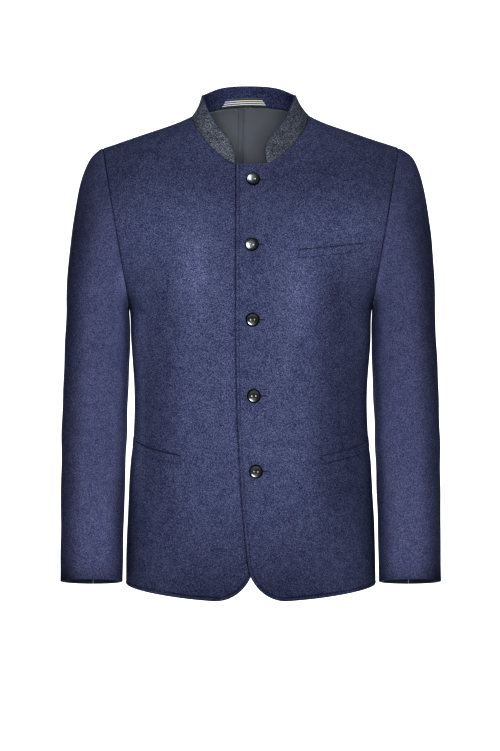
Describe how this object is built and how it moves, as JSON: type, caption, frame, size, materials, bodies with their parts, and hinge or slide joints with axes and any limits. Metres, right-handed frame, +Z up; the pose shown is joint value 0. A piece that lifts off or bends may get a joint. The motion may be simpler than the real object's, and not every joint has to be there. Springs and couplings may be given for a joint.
{
  "type": "loden jacket",
  "caption": "Navy loden wool jacket with a grey standing collar, horn-like buttons, slanted welt pockets and rounded front corners, hollow as worn.",
  "frame": {"origin": "midpoint between the two neck points of the shoulder seams, where the wearer's shoulders carry the jacket", "axes": "+X towards the wearer's left, +Y towards the back, +Z up; the front faces -Y"},
  "size_m": [0.5676, 0.2587, 0.7641],
  "materials": {
    "loden_wool": "napped, mottled",
    "collar_melange": "napped, mottled",
    "collar_facing": "napped",
    "lining": "smooth",
    "ribbon": "woven stripe",
    "horn": "polished"
  },
  "bodies": {
    "root": {"front_left": "loden_wool", "front_right": "loden_wool", "back_left": "loden_wool", "back_right": "loden_wool", "sleeve_left_top": "loden_wool", "sleeve_left_under": "loden_wool", "sleeve_right_top": "loden_wool", "sleeve_right_under": "loden_wool", "hip_welt_left": "loden_wool", "hip_welt_right": "loden_wool", "chest_welt": "loden_wool", "collar_outer": "collar_melange", "collar_inner": "collar_facing", "back_lining": "lining", "hanger_ribbon": "ribbon", "button_1": "horn", "button_2": "horn", "button_3": "horn", "button_4": "horn", "button_5": "horn"}
  },
  "joints": []
}
